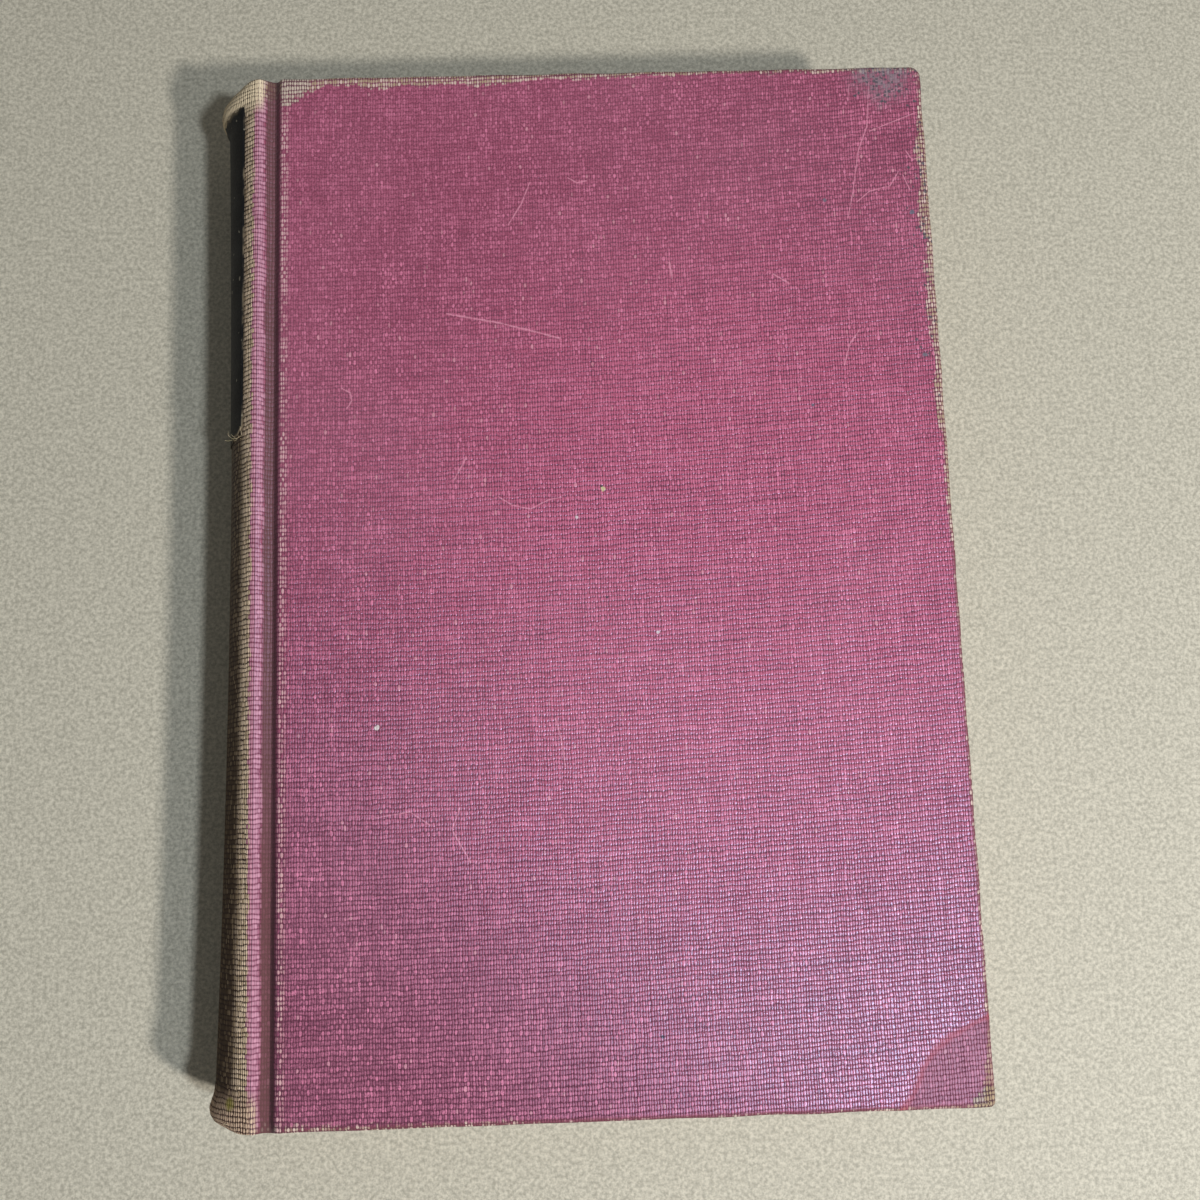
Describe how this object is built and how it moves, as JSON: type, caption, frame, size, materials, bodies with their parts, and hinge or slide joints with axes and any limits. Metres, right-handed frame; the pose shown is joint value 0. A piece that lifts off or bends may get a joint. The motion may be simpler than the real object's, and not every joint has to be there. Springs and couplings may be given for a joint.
{
  "type": "textbook",
  "caption": "Case-bound textbook with cloth covers that open on sunk joints, a rounded spine with a bare label, and one block of pages.",
  "frame": {"origin": "on the back cover's outer face, at the middle of the closed book's width and height", "axes": "+X from the spine to the fore edge, +Y from the tail to the head, +Z from the back cover to the front cover"},
  "size_m": [0.1444, 0.203, 0.03],
  "materials": {
    "book_cloth": "worn maroon plain-weave book cloth, faded to tan on the spine",
    "black_label": "smooth black label, rubbed",
    "page_paper": "aged page edges",
    "endpaper": "plain aged endpaper",
    "gauze": "stiff open gauze",
    "kraft_paper": "brown lining paper",
    "band_thread": "striped thread over a cord",
    "spine_card": "brown card",
    "binding_board": "grey-brown pulp board"
  },
  "bodies": {
    "text_block": {"text_block": "page_paper", "front_flyleaf": "endpaper", "back_flyleaf": "endpaper", "mull": "gauze", "back_lining": "kraft_paper", "head_band": "band_thread", "tail_band": "band_thread", "spine_inlay": "spine_card", "spine_cloth": "book_cloth", "spine_label": "black_label"},
    "front_cover": {"front_board": "binding_board", "front_cloth": "book_cloth", "front_pastedown": "endpaper"},
    "back_cover": {"back_board": "binding_board", "back_cloth": "book_cloth", "back_pastedown": "endpaper"}
  },
  "joints": [
    {"name": "front_joint", "type": "hinge", "parent": "text_block", "child": "front_cover", "pos_m": [-0.05881, 0, 0.0303], "axis": [0, -1, 0], "range_deg": [0, 185]},
    {"name": "back_joint", "type": "hinge", "parent": "text_block", "child": "back_cover", "pos_m": [-0.05881, 0, -0.0003], "axis": [0, 1, 0], "range_deg": [0, 185]}
  ]
}
